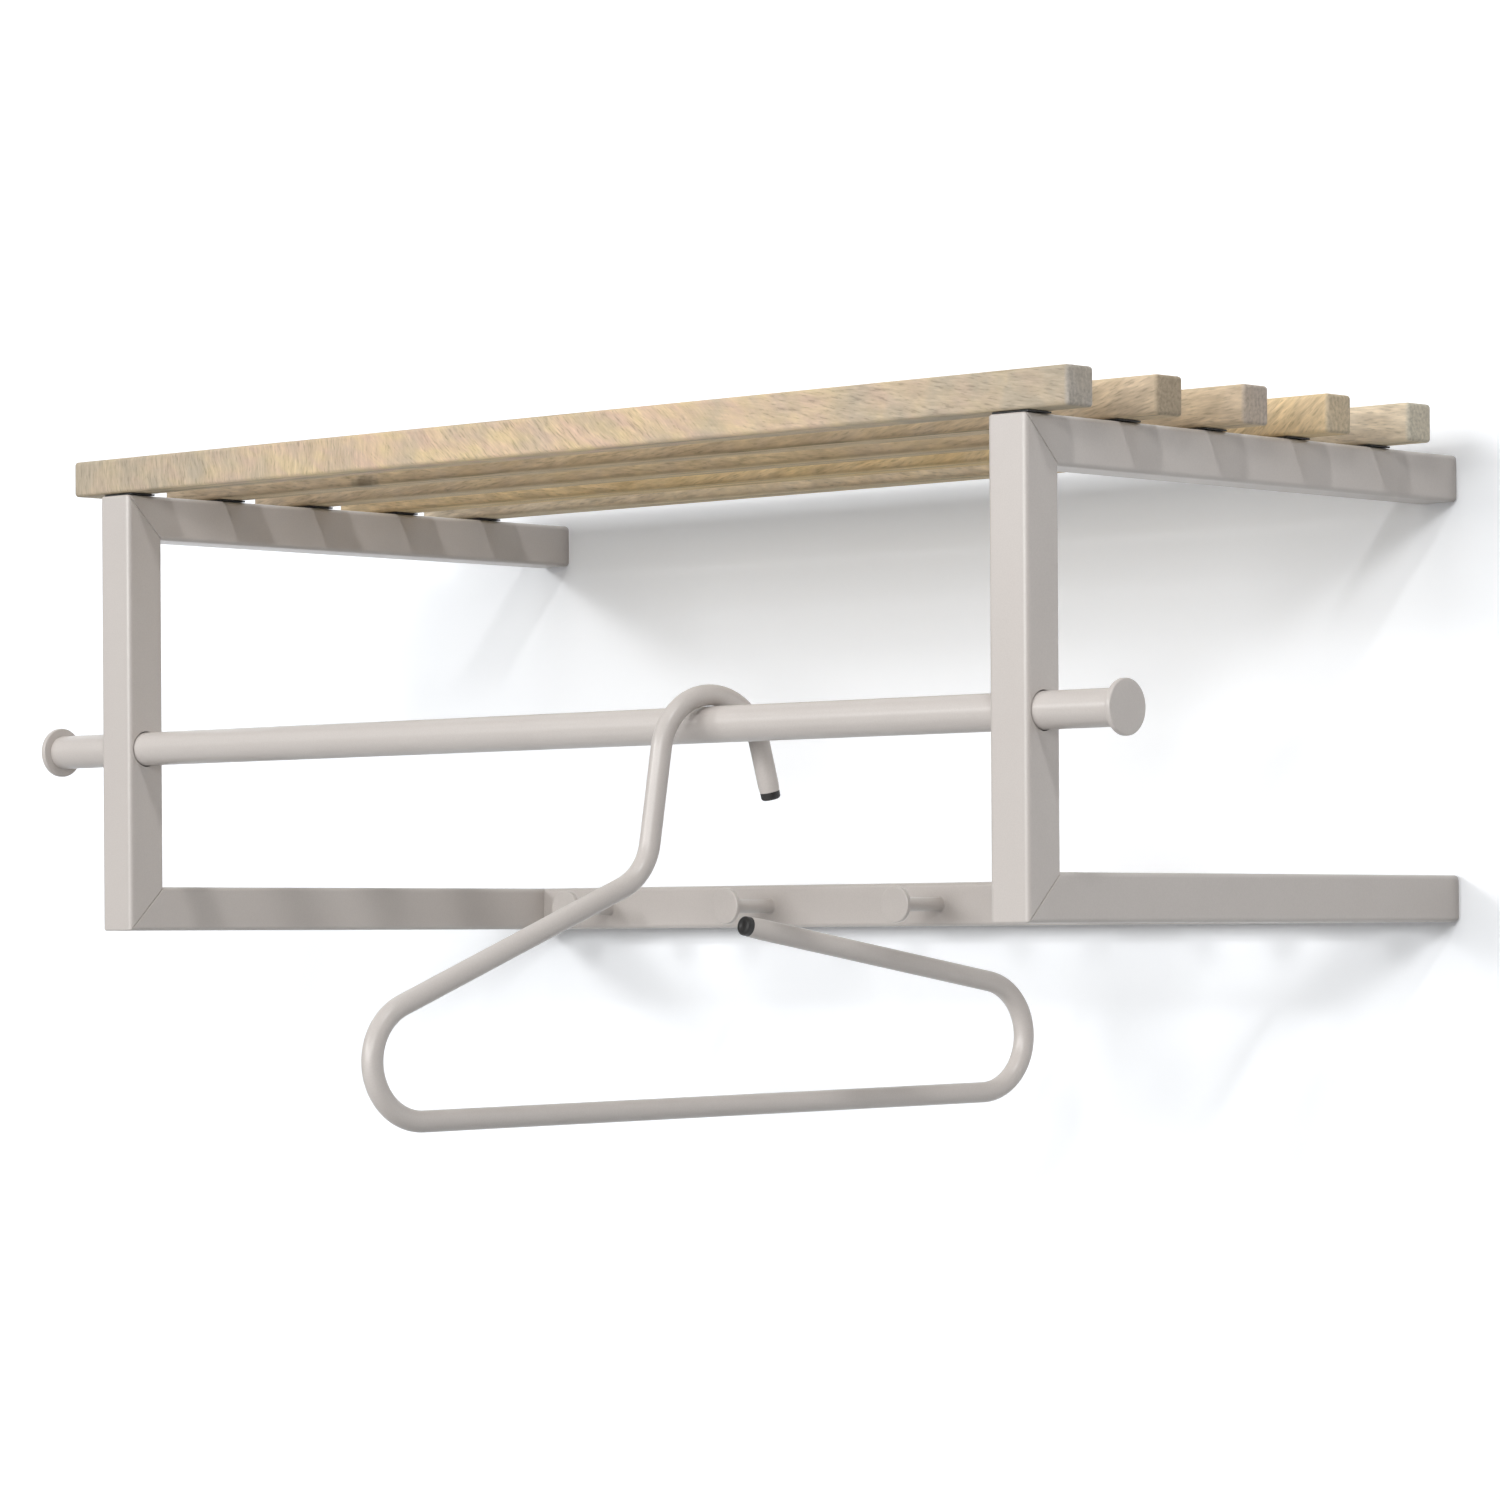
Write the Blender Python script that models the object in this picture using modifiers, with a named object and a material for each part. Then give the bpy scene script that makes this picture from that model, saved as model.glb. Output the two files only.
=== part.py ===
"""Wall coat rack: two C-shaped side frames of square steel tube, a back rail with coat pegs,
a round coat rod through the uprights, a shelf of oak slats and one hanger bent from tube.

Metres, +Z up. X runs along the wall, +Y points into the wall and the front faces -Y.
The origin is the middle of the back rail's rear face, on the wall.
"""
import math

import bmesh
import bpy
from mathutils import Matrix, Vector

# Square steel tube of the side frames and the back rail
TUBE = 0.025
TUBE_WALL = 0.0015
TUBE_EDGE_RADIUS = 0.0025
EDGE_STEPS = 3

# Side frames
FRAME_WIDTH = 0.695        # over the outer faces of the two side frames
FRAME_DEPTH = 0.355        # front face of the uprights to the wall
FRAME_HEIGHT = 0.2485      # underside of the bottom arms to the top of the top arms
SEAM = 0.0003              # gap left where two pieces meet

# Wall plates that close the arms, with a keyhole for a wall screw
PLATE_THICKNESS = 0.005
KEYHOLE_HEAD = 0.009       # hole that passes the screw's head
KEYHOLE_SLOT = 0.0046      # slot that holds the screw's shank
KEYHOLE_DROP = 0.004       # middle of the head hole below the middle of the plate
KEYHOLE_RISE = 0.009       # from the middle of the head hole up to the slot's round end

# Coat rod, its end discs and its lock screws
ROD_DIAMETER = 0.019
ROD_WALL = 0.0015
ROD_HEIGHT = 0.0912        # axis above the middle of the back rail
ROD_STANDOUT = 0.0525      # outer face of an upright to the outer face of the end disc
ROD_CLEARANCE = 0.0006     # all round the rod in the uprights' holes
ROD_DISC_DIAMETER = 0.028
ROD_DISC_THICKNESS = 0.003
ROD_SPIGOT_LENGTH = 0.012
LOCK_SCREW_DIAMETER = 0.005
LOCK_SCREW_STANDOUT = 0.001
LOCK_SOCKET_DIAMETER = 0.0025
LOCK_SOCKET_DEPTH = 0.002

# Oak slats, and the spacers and steel pins that carry them on the top arms
SLAT_HEIGHT = 0.020
SLAT_DEPTH = 0.020
SLAT_OVERHANG = 0.025      # past the outer face of each side frame
SLAT_COUNT = 5
SLAT_SETBACK = 0.0015      # front slat behind the front face of the uprights
SLAT_REAR_GAP = 0.0583     # rear slat to the wall
SLAT_EDGE_RADIUS = 0.002
SLAT_EDGE_STEPS = 2
SPACER_WIDTH = 0.024       # across the arm
SPACER_DEPTH = 0.018       # along the arm
SPACER_THICKNESS = 0.0008
PIN_DIAMETER = 0.005
PIN_LENGTH_IN_SLAT = 0.012
PIN_HOLE_SPARE = 0.001     # the slat's hole is this much deeper than the pin

# Coat pegs on the back rail
PEG_COUNT = 5
PEG_END_MARGIN = 0.0562    # axis of the outermost peg to the end of the rail
PEG_STEM_DIAMETER = 0.008
PEG_STEM_LENGTH = 0.036    # front face of the rail to the back of the disc
PEG_SPIGOT_DIAMETER = 0.005
PEG_DISC_DIAMETER = 0.021
PEG_DISC_THICKNESS = 0.003

# Hanger, bent from one tube and closed with two plastic plugs
HANGER_TUBE = 0.011
HANGER_WALL = 0.0012
HANGER_WIDTH = 0.438       # over the two bends
HANGER_DROP = 0.1966       # rod axis to the middle of the bar
BAR_OFFSET = 0.0023        # middle of the bar in front of the hook's middle
HANGER_BEND_RADIUS = 0.030
HOOK_RADIUS = 0.033        # middle of the tube
HOOK_TAIL_LENGTH = 0.0257
HOOK_TAIL_LEAN = math.radians(14)
NECK_LEAN = math.radians(10)
FRONT_SHOULDER_SLOPE = math.radians(22)
REAR_SHOULDER_SLOPE = math.radians(11.2)
FREE_END_OFFSET = 0.0225   # free end of the rear shoulder behind the hook's middle
HANGER_PLACE = 0.1228      # hook along the rod from the middle of the rack
HANGER_TURN = math.radians(8)
HANGER_LEAN = math.radians(1)
PLUG_HEAD_LENGTH = 0.0042
PLUG_HEAD_INSET = 0.0004   # head smaller in radius than the tube
PLUG_SPIGOT_LENGTH = 0.009

# Roundness of turned pieces, holes and bends
ROUND_SIDES = 24
SMALL_SIDES = 16
HANGER_BEVEL_RESOLUTION = 4
HANGER_SIDES = 4 + 2 * HANGER_BEVEL_RESOLUTION
BEND_STEP = math.radians(9.5)
PROUD = 0.001              # how far a cutter reaches past the face that it cuts

# Places that follow from the sizes
HALF_TUBE = TUBE / 2
HALF_WIDTH = FRAME_WIDTH / 2
ARM_X = HALF_WIDTH - HALF_TUBE
BOTTOM = -HALF_TUBE
TOP = BOTTOM + FRAME_HEIGHT
FRONT = -FRAME_DEPTH
UPRIGHT_Y = FRONT + HALF_TUBE
ARM_END = -PLATE_THICKNESS - SEAM
ROD_RADIUS = ROD_DIAMETER / 2
ROD_DISC_X = HALF_WIDTH + ROD_STANDOUT - ROD_DISC_THICKNESS
ROD_TUBE_LENGTH = 2 * (ROD_DISC_X - SEAM)
SLAT_LENGTH = FRAME_WIDTH + 2 * SLAT_OVERHANG
SLAT_BOTTOM = TOP + SEAM + SPACER_THICKNESS + SEAM
SLAT_PITCH = (FRAME_DEPTH - SLAT_SETBACK - SLAT_DEPTH - SLAT_REAR_GAP) / (SLAT_COUNT - 1)
RAIL_LENGTH = FRAME_WIDTH - 2 * TUBE - 2 * SEAM
FIRST_PEG = PEG_END_MARGIN - RAIL_LENGTH / 2
PEG_PITCH = -2 * FIRST_PEG / (PEG_COUNT - 1)
SIDES = (("left", -1), ("right", 1))
UP_TO_RIGHT = (0, math.pi / 2, 0)
UP_TO_LEFT = (0, -math.pi / 2, 0)
UP_TO_FRONT = (math.pi / 2, 0, 0)
UP_TO_WALL = (-math.pi / 2, 0, 0)

for old in list(bpy.data.objects):
    bpy.data.objects.remove(old, do_unlink=True)

rack = bpy.data.collections.new("wall_coat_rack")
cutters = bpy.data.collections.new("wall_coat_rack_cutters")
bpy.context.scene.collection.children.link(rack)
bpy.context.scene.collection.children.link(cutters)


def make_material(name, colour, roughness, metallic):
    material = bpy.data.materials.new(name)
    material.use_nodes = True
    shader = material.node_tree.nodes["Principled BSDF"]
    shader.inputs["Base Color"].default_value = (*colour, 1)
    shader.inputs["Roughness"].default_value = roughness
    shader.inputs["Metallic"].default_value = metallic
    return material


PAINT = make_material("powder_coated_steel", (0.64, 0.60, 0.57), 0.45, 0.0)
OAK = make_material("limed_oak", (0.56, 0.44, 0.31), 0.65, 0.0)
ZINC = make_material("zinc_plated_steel", (0.55, 0.55, 0.56), 0.35, 1.0)
PLASTIC = make_material("black_plastic", (0.012, 0.012, 0.012), 0.5, 0.0)


def add_piece(name, mesh, material, location=(0, 0, 0), rotation=(0, 0, 0)):
    """One piece of the rack, with its own object and material."""
    piece = bpy.data.objects.new(name, mesh)
    piece.location = location
    piece.rotation_euler = rotation
    mesh.materials.clear()
    mesh.materials.append(material)
    rack.objects.link(piece)
    return piece


def add_cutter(name, mesh, location=(0, 0, 0), rotation=(0, 0, 0)):
    cutter = bpy.data.objects.new(name, mesh)
    cutter.location = location
    cutter.rotation_euler = rotation
    cutter.hide_render = True
    cutter.display_type = "WIRE"
    cutters.objects.link(cutter)
    return cutter


def cut(piece, cutter):
    boolean = piece.modifiers.new(cutter.name, "BOOLEAN")
    boolean.operation = "DIFFERENCE"
    boolean.solver = "EXACT"
    boolean.object = cutter


def finish_mesh(name, bm, smooth=False):
    mesh = bpy.data.meshes.new(name)
    bmesh.ops.recalc_face_normals(bm, faces=bm.faces)
    bm.to_mesh(mesh)
    bm.free()
    if smooth:
        mesh.shade_smooth()
        mesh.set_sharp_from_angle(angle=math.radians(35))
    return mesh


def box_mesh(name, size):
    bm = bmesh.new()
    bmesh.ops.create_cube(bm, size=1, matrix=Matrix.Diagonal((*size, 1)))
    return finish_mesh(name, bm)


def cylinder_mesh(name, diameter, length, sides=ROUND_SIDES):
    """Cylinder along local Z, centred on its origin."""
    bm = bmesh.new()
    bmesh.ops.create_cone(bm, cap_ends=True, segments=sides, radius1=diameter / 2, radius2=diameter / 2,
                          depth=length)
    return finish_mesh(name, bm, smooth=True)


def bar_mesh(name, axis, length, mitres=()):
    """Square bar of the tube's outer size along an axis, long edges rounded, ends cut on mitre planes."""
    size = [TUBE, TUBE, TUBE]
    size[axis] = length
    bm = bmesh.new()
    bmesh.ops.create_cube(bm, size=1, matrix=Matrix.Diagonal((*size, 1)))
    across = [i for i in range(3) if i != axis]
    long_edges = [e for e in bm.edges
                  if all(abs((e.verts[0].co - e.verts[1].co)[i]) < SEAM for i in across)]
    bmesh.ops.bevel(bm, geom=long_edges, offset=TUBE_EDGE_RADIUS, segments=EDGE_STEPS, profile=0.5,
                    affect="EDGES")
    for point, normal in mitres:
        everything = bm.verts[:] + bm.edges[:] + bm.faces[:]
        sliced = bmesh.ops.bisect_plane(bm, geom=everything, plane_co=point, plane_no=normal,
                                        clear_outer=True)
        rim = [g for g in sliced["geom_cut"] if isinstance(g, bmesh.types.BMEdge)]
        bmesh.ops.holes_fill(bm, edges=rim)
    return finish_mesh(name, bm, smooth=True)


def bore(piece, axis, length):
    """Opens a bar into a tube with a square bore that passes both of its ends."""
    size = [TUBE - 2 * TUBE_WALL] * 3
    size[axis] = length + 2 * TUBE
    cut(piece, add_cutter(piece.name + "_bore", box_mesh(piece.name + "_bore", size), piece.location))


def turned_mesh(name, profile, sides=ROUND_SIDES):
    """Solid of revolution about local Z from a profile of (radius, height) pairs, from top to bottom."""
    outline = bpy.data.meshes.new(name + "_outline")
    points = [(radius, 0, height) for radius, height in profile]
    outline.from_pydata(points, [(i, i + 1) for i in range(len(points) - 1)], [])
    lathe = bpy.data.objects.new(name + "_lathe", outline)
    bpy.context.scene.collection.objects.link(lathe)
    screw = lathe.modifiers.new("turn", "SCREW")
    screw.axis = "Z"
    screw.steps = sides
    screw.render_steps = sides
    screw.use_merge_vertices = True
    screw.merge_threshold = 0.00001
    screw.use_smooth_shade = True
    graph = bpy.context.evaluated_depsgraph_get()
    mesh = bpy.data.meshes.new_from_object(lathe.evaluated_get(graph))
    mesh.name = name
    mesh.set_sharp_from_angle(angle=math.radians(35))
    bpy.data.objects.remove(lathe, do_unlink=True)
    return mesh


# Side frames: an upright and two arms each, mitred at the front corners
half_seam = SEAM / 2
top_mitre = Vector((0, 1, 1)).normalized()
bottom_mitre = Vector((0, 1, -1)).normalized()
upright_middle = (TOP + BOTTOM) / 2
arm_length = ARM_END - FRONT
arm_middle = (ARM_END + FRONT) / 2
top_corner = Vector((0, FRONT, TOP))
bottom_corner = Vector((0, FRONT, BOTTOM))
rod_hole = cylinder_mesh("rod_hole", ROD_DIAMETER + 2 * ROD_CLEARANCE, TUBE + 2 * PROUD)
lock_hole = cylinder_mesh("lock_hole", LOCK_SCREW_DIAMETER + 2 * SEAM, TUBE_WALL + 2 * PROUD, SMALL_SIDES)
lock_hole_y = FRONT + TUBE - TUBE_WALL / 2
pin_hole = cylinder_mesh("pin_hole", PIN_DIAMETER + 2 * SEAM, TUBE_WALL + 2 * PROUD, SMALL_SIDES)
slat_rows = [FRONT + SLAT_SETBACK + SLAT_DEPTH / 2 + i * SLAT_PITCH for i in range(SLAT_COUNT)]

for side, sign in SIDES:
    centre = Vector((0, UPRIGHT_Y, upright_middle))
    mitres = [(top_corner - centre - top_mitre * half_seam, top_mitre),
              (bottom_corner - centre - bottom_mitre * half_seam, bottom_mitre)]
    upright = add_piece(side + "_upright", bar_mesh(side + "_upright", 2, FRAME_HEIGHT, mitres), PAINT,
                        (sign * ARM_X, UPRIGHT_Y, upright_middle))
    bore(upright, 2, FRAME_HEIGHT)
    rod_place = (sign * ARM_X, UPRIGHT_Y, ROD_HEIGHT)
    lock_place = (sign * ARM_X, lock_hole_y, ROD_HEIGHT)
    cut(upright, add_cutter(side + "_rod_hole", rod_hole, rod_place, UP_TO_RIGHT))
    cut(upright, add_cutter(side + "_lock_hole", lock_hole, lock_place, UP_TO_WALL))

    for level, height, corner, normal in (("top", TOP - HALF_TUBE, top_corner, top_mitre),
                                          ("bottom", BOTTOM + HALF_TUBE, bottom_corner, bottom_mitre)):
        name = side + "_" + level + "_arm"
        centre = Vector((0, arm_middle, height))
        mitres = [(corner - centre + normal * half_seam, -normal)]
        arm = add_piece(name, bar_mesh(name, 1, arm_length, mitres), PAINT,
                        (sign * ARM_X, arm_middle, height))
        bore(arm, 1, arm_length)
        if level == "top":
            for row, y in enumerate(slat_rows, 1):
                place = (sign * ARM_X, y, TOP - TUBE_WALL / 2)
                cut(arm, add_cutter(name + "_pin_hole_" + str(row), pin_hole, place))

# Back rail between the bottom arms, with a hole for each peg's spigot
rail = add_piece("back_rail", bar_mesh("back_rail", 0, RAIL_LENGTH), PAINT, (0, -HALF_TUBE, 0))
bore(rail, 0, RAIL_LENGTH)
peg_hole = cylinder_mesh("peg_hole", PEG_SPIGOT_DIAMETER + 2 * SEAM, TUBE_WALL + 2 * PROUD, SMALL_SIDES)
peg_places = [FIRST_PEG + i * PEG_PITCH for i in range(PEG_COUNT)]
for number, x in enumerate(peg_places, 1):
    place = (x, -TUBE + TUBE_WALL / 2, 0)
    cut(rail, add_cutter("peg_hole_" + str(number), peg_hole, place, UP_TO_FRONT))


# Wall plates: closed ends of the arms, rounded like the tube, each with a keyhole
def plate_mesh(name):
    bm = bmesh.new()
    bmesh.ops.create_cube(bm, size=1, matrix=Matrix.Diagonal((TUBE, PLATE_THICKNESS, TUBE, 1)))
    seen = [e for e in bm.edges if any(v.co.y > 0 for v in e.verts)]
    bmesh.ops.bevel(bm, geom=seen, offset=TUBE_EDGE_RADIUS, segments=EDGE_STEPS, profile=0.5,
                    affect="EDGES")
    return finish_mesh(name, bm, smooth=True)


def slot_mesh(name):
    """Slot of the keyhole: the hull of two round ends, through the plate along local Z."""
    bm = bmesh.new()
    for y in (0, -KEYHOLE_RISE):
        for z in (-PLATE_THICKNESS / 2 - PROUD, PLATE_THICKNESS / 2 + PROUD):
            bmesh.ops.create_circle(bm, segments=SMALL_SIDES, radius=KEYHOLE_SLOT / 2,
                                    matrix=Matrix.Translation((0, y, z)))
    hull = bmesh.ops.convex_hull(bm, input=bm.verts)
    bmesh.ops.delete(bm, geom=hull["geom_interior"], context="VERTS")
    bmesh.ops.dissolve_limit(bm, angle_limit=math.radians(1), verts=bm.verts, edges=bm.edges)
    return finish_mesh(name, bm)


head_hole = cylinder_mesh("keyhole_head", KEYHOLE_HEAD, PLATE_THICKNESS + 2 * PROUD, SMALL_SIDES)
slot = slot_mesh("keyhole_slot")
for side, sign in SIDES:
    for level, height in (("top", TOP - HALF_TUBE), ("bottom", BOTTOM + HALF_TUBE)):
        name = side + "_" + level + "_wall_plate"
        plate = add_piece(name, plate_mesh(name), PAINT, (sign * ARM_X, -PLATE_THICKNESS / 2, height))
        place = (sign * ARM_X, -PLATE_THICKNESS / 2, height - KEYHOLE_DROP)
        cut(plate, add_cutter(name + "_head", head_hole, place, UP_TO_WALL))
        cut(plate, add_cutter(name + "_slot", slot, place, UP_TO_WALL))

# Coat rod, a tube through both uprights, with a disc plugged into each end and two lock screws
rod = add_piece("coat_rod", cylinder_mesh("coat_rod", ROD_DIAMETER, ROD_TUBE_LENGTH), PAINT,
                (0, UPRIGHT_Y, ROD_HEIGHT), UP_TO_RIGHT)
rod_bore = cylinder_mesh("coat_rod_bore", ROD_DIAMETER - 2 * ROD_WALL, ROD_TUBE_LENGTH + 2 * PROUD)
cut(rod, add_cutter("coat_rod_bore", rod_bore, rod.location, UP_TO_RIGHT))

disc_radius = ROD_DISC_DIAMETER / 2
disc_edge = ROD_DISC_THICKNESS / 5
spigot_radius = (ROD_RADIUS - ROD_WALL) * math.cos(math.pi / ROUND_SIDES) - SEAM
disc_profile = [(0, ROD_DISC_THICKNESS), (disc_radius - disc_edge, ROD_DISC_THICKNESS),
                (disc_radius, ROD_DISC_THICKNESS - disc_edge), (disc_radius, disc_edge),
                (disc_radius - disc_edge, 0), (spigot_radius, 0),
                (spigot_radius, -ROD_SPIGOT_LENGTH), (0, -ROD_SPIGOT_LENGTH)]
disc_mesh = turned_mesh("rod_end_disc", disc_profile)
lock_top = TUBE / 2 + LOCK_SCREW_STANDOUT
lock_bottom = ROD_RADIUS + SEAM
lock_profile = [(0, lock_top - LOCK_SOCKET_DEPTH), (LOCK_SOCKET_DIAMETER / 2, lock_top - LOCK_SOCKET_DEPTH),
                (LOCK_SOCKET_DIAMETER / 2, lock_top), (LOCK_SCREW_DIAMETER / 2, lock_top),
                (LOCK_SCREW_DIAMETER / 2, lock_bottom), (0, lock_bottom)]
lock_mesh = turned_mesh("rod_lock_screw", lock_profile, SMALL_SIDES)
for side, sign in SIDES:
    facing = UP_TO_RIGHT if sign > 0 else UP_TO_LEFT
    disc_place = (sign * ROD_DISC_X, UPRIGHT_Y, ROD_HEIGHT)
    lock_place = (sign * ARM_X, UPRIGHT_Y, ROD_HEIGHT)
    add_piece(side + "_rod_end_disc", disc_mesh, PAINT, disc_place, facing)
    add_piece(side + "_rod_lock_screw", lock_mesh, ZINC, lock_place, UP_TO_WALL)

# Coat pegs: a stem with a spigot in the rail's front wall, and a disc on its front end
stem_radius = PEG_STEM_DIAMETER / 2
peg_spigot_radius = PEG_SPIGOT_DIAMETER / 2
stem_profile = [(0, PEG_STEM_LENGTH - SEAM), (stem_radius, PEG_STEM_LENGTH - SEAM), (stem_radius, SEAM),
                (peg_spigot_radius, SEAM), (peg_spigot_radius, -TUBE_WALL), (0, -TUBE_WALL)]
stem_mesh = turned_mesh("peg_stem", stem_profile, SMALL_SIDES)
peg_disc_radius = PEG_DISC_DIAMETER / 2
peg_disc_edge = PEG_DISC_THICKNESS / 5
peg_disc_profile = [(0, PEG_DISC_THICKNESS), (peg_disc_radius - peg_disc_edge, PEG_DISC_THICKNESS),
                    (peg_disc_radius, PEG_DISC_THICKNESS - peg_disc_edge), (peg_disc_radius, peg_disc_edge),
                    (peg_disc_radius - peg_disc_edge, 0), (0, 0)]
peg_disc_mesh = turned_mesh("peg_disc", peg_disc_profile)
for number, x in enumerate(peg_places, 1):
    add_piece("peg_stem_" + str(number), stem_mesh, PAINT, (x, -TUBE, 0), UP_TO_FRONT)
    add_piece("peg_disc_" + str(number), peg_disc_mesh, PAINT, (x, -TUBE - PEG_STEM_LENGTH, 0), UP_TO_FRONT)

# Slats across the top arms, each on two flat spacers and held by a pin in the top wall of either arm
slat_mesh = box_mesh("slat", (SLAT_LENGTH, SLAT_DEPTH, SLAT_HEIGHT))
slat_hole_depth = PIN_LENGTH_IN_SLAT + PIN_HOLE_SPARE
slat_hole = cylinder_mesh("slat_hole", PIN_DIAMETER + 2 * SEAM, slat_hole_depth + PROUD, SMALL_SIDES)
pin_bottom = TOP - TUBE_WALL
pin_top = SLAT_BOTTOM + PIN_LENGTH_IN_SLAT
pin_mesh = cylinder_mesh("slat_pin", PIN_DIAMETER, pin_top - pin_bottom, SMALL_SIDES)
spacer_mesh = box_mesh("slat_spacer", (SPACER_WIDTH, SPACER_DEPTH, SPACER_THICKNESS))
spacer_height = TOP + SEAM + SPACER_THICKNESS / 2
for row, y in enumerate(slat_rows, 1):
    slat = add_piece("slat_" + str(row), slat_mesh, OAK, (0, y, SLAT_BOTTOM + SLAT_HEIGHT / 2))
    rounding = slat.modifiers.new("rounded_edges", "BEVEL")
    rounding.width = SLAT_EDGE_RADIUS
    rounding.segments = SLAT_EDGE_STEPS
    rounding.limit_method = "NONE"
    for side, sign in SIDES:
        place = (sign * ARM_X, y, SLAT_BOTTOM + (slat_hole_depth - PROUD) / 2)
        cut(slat, add_cutter(slat.name + "_" + side + "_hole", slat_hole, place))
        place = (sign * ARM_X, y, spacer_height)
        spacer = add_piece(side + "_slat_spacer_" + str(row), spacer_mesh, PLASTIC, place)
        cut(spacer, add_cutter(spacer.name + "_hole", pin_hole, place))
        place = (sign * ARM_X, y, (pin_top + pin_bottom) / 2)
        add_piece(side + "_slat_pin_" + str(row), pin_mesh, ZINC, place)


# Hanger: one bent tube that hangs over the rod, with a plug in either end
def arc(centre, radius, start, end):
    """Points on an arc in the hanger's plane, from one angle to another, both ends included."""
    steps = max(1, math.ceil(abs(end - start) / BEND_STEP))
    angles = [start + (end - start) * i / steps for i in range(steps + 1)]
    return [centre + radius * Vector((math.cos(a), math.sin(a))) for a in angles]


def hanger_path():
    """Centre line in the hanger's plane, with the rod's axis at zero: tail, hook, neck, bar, free end."""
    tube_radius = HANGER_TUBE / 2
    hook_centre = Vector((0, ROD_RADIUS + SEAM + tube_radius - HOOK_RADIUS))
    hook = arc(hook_centre, HOOK_RADIUS, HOOK_TAIL_LEAN, math.pi - NECK_LEAN)
    tail = hook[0] + HOOK_TAIL_LENGTH * Vector((math.sin(HOOK_TAIL_LEAN), -math.cos(HOOK_TAIL_LEAN)))

    reach = HANGER_WIDTH / 2 - tube_radius - HANGER_BEND_RADIUS
    bend_height = HANGER_BEND_RADIUS - HANGER_DROP
    front_centre = Vector((-BAR_OFFSET - reach, bend_height))
    rear_centre = Vector((-BAR_OFFSET + reach, bend_height))
    quarter = math.pi / 2
    front_bend = arc(front_centre, HANGER_BEND_RADIUS, quarter + FRONT_SHOULDER_SLOPE, 3 * quarter)
    rear_bend = arc(rear_centre, HANGER_BEND_RADIUS, -quarter, quarter - REAR_SHOULDER_SLOPE)

    neck_run = Vector((-math.sin(NECK_LEAN), -math.cos(NECK_LEAN)))
    shoulder_run = Vector((-math.cos(FRONT_SHOULDER_SLOPE), -math.sin(FRONT_SHOULDER_SLOPE)))
    between = front_bend[0] - hook[-1]
    crossing = neck_run.x * shoulder_run.y - neck_run.y * shoulder_run.x
    to_corner = (between.x * shoulder_run.y - between.y * shoulder_run.x) / crossing
    neck_turn = neck_run.angle(shoulder_run)
    neck_start = hook[-1] + neck_run * (to_corner - HANGER_BEND_RADIUS * math.tan(neck_turn / 2))
    neck_centre = neck_start + HANGER_BEND_RADIUS * Vector((neck_run.y, -neck_run.x))
    neck = arc(neck_centre, HANGER_BEND_RADIUS, -NECK_LEAN, -NECK_LEAN - neck_turn)

    rear_run = Vector((-math.cos(REAR_SHOULDER_SLOPE), math.sin(REAR_SHOULDER_SLOPE)))
    rear_length = (rear_bend[-1].x - FREE_END_OFFSET) / math.cos(REAR_SHOULDER_SLOPE)
    free_end = rear_bend[-1] + rear_run * rear_length
    return [tail] + hook + neck + front_bend + rear_bend + [free_end]


hanger_seat = bpy.data.objects.new("hanger_seat", None)
hanger_seat.location = (HANGER_PLACE, UPRIGHT_Y, ROD_HEIGHT)
hanger_seat.rotation_euler = (HANGER_LEAN, 0, -HANGER_TURN)
rack.objects.link(hanger_seat)

path = [Vector((0, p.x, p.y)) for p in hanger_path()]
centre_line = bpy.data.curves.new("hanger_tube", "CURVE")
centre_line.dimensions = "3D"
centre_line.bevel_depth = HANGER_TUBE / 2
centre_line.bevel_resolution = HANGER_BEVEL_RESOLUTION
centre_line.twist_mode = "MINIMUM"
spline = centre_line.splines.new("POLY")
spline.points.add(len(path) - 1)
for point, place in zip(spline.points, path):
    point.co = (*place, 1)
hanger_tube = add_piece("hanger_tube", centre_line, PAINT)
hanger_tube.parent = hanger_seat
wall = hanger_tube.modifiers.new("tube_wall", "SOLIDIFY")
wall.thickness = HANGER_WALL
wall.offset = -1
wall.use_even_offset = True

plug_head_radius = HANGER_TUBE / 2 - PLUG_HEAD_INSET
plug_dome = PLUG_HEAD_LENGTH / 2
plug_spigot_radius = HANGER_TUBE / 2 * math.cos(math.pi / HANGER_SIDES) - HANGER_WALL - SEAM
plug_profile = [(0, PLUG_HEAD_LENGTH), (plug_head_radius - plug_dome, PLUG_HEAD_LENGTH),
                (plug_head_radius - plug_dome / 4, PLUG_HEAD_LENGTH - plug_dome / 3),
                (plug_head_radius, PLUG_HEAD_LENGTH - plug_dome), (plug_head_radius, SEAM),
                (plug_spigot_radius, SEAM), (plug_spigot_radius, -PLUG_SPIGOT_LENGTH),
                (0, -PLUG_SPIGOT_LENGTH)]
plug_mesh = turned_mesh("hanger_plug", plug_profile, SMALL_SIDES)
for name, end, before in (("hook_end_plug", path[0], path[1]), ("shoulder_end_plug", path[-1], path[-2])):
    plug = add_piece(name, plug_mesh, PLASTIC, end)
    plug.rotation_euler = (end - before).to_track_quat("Z", "X").to_euler()
    plug.parent = hanger_seat
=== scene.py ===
import math
from functools import partial

import bmesh
import bpy
import numpy as np
from mathutils import Euler, Matrix, Vector


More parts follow.
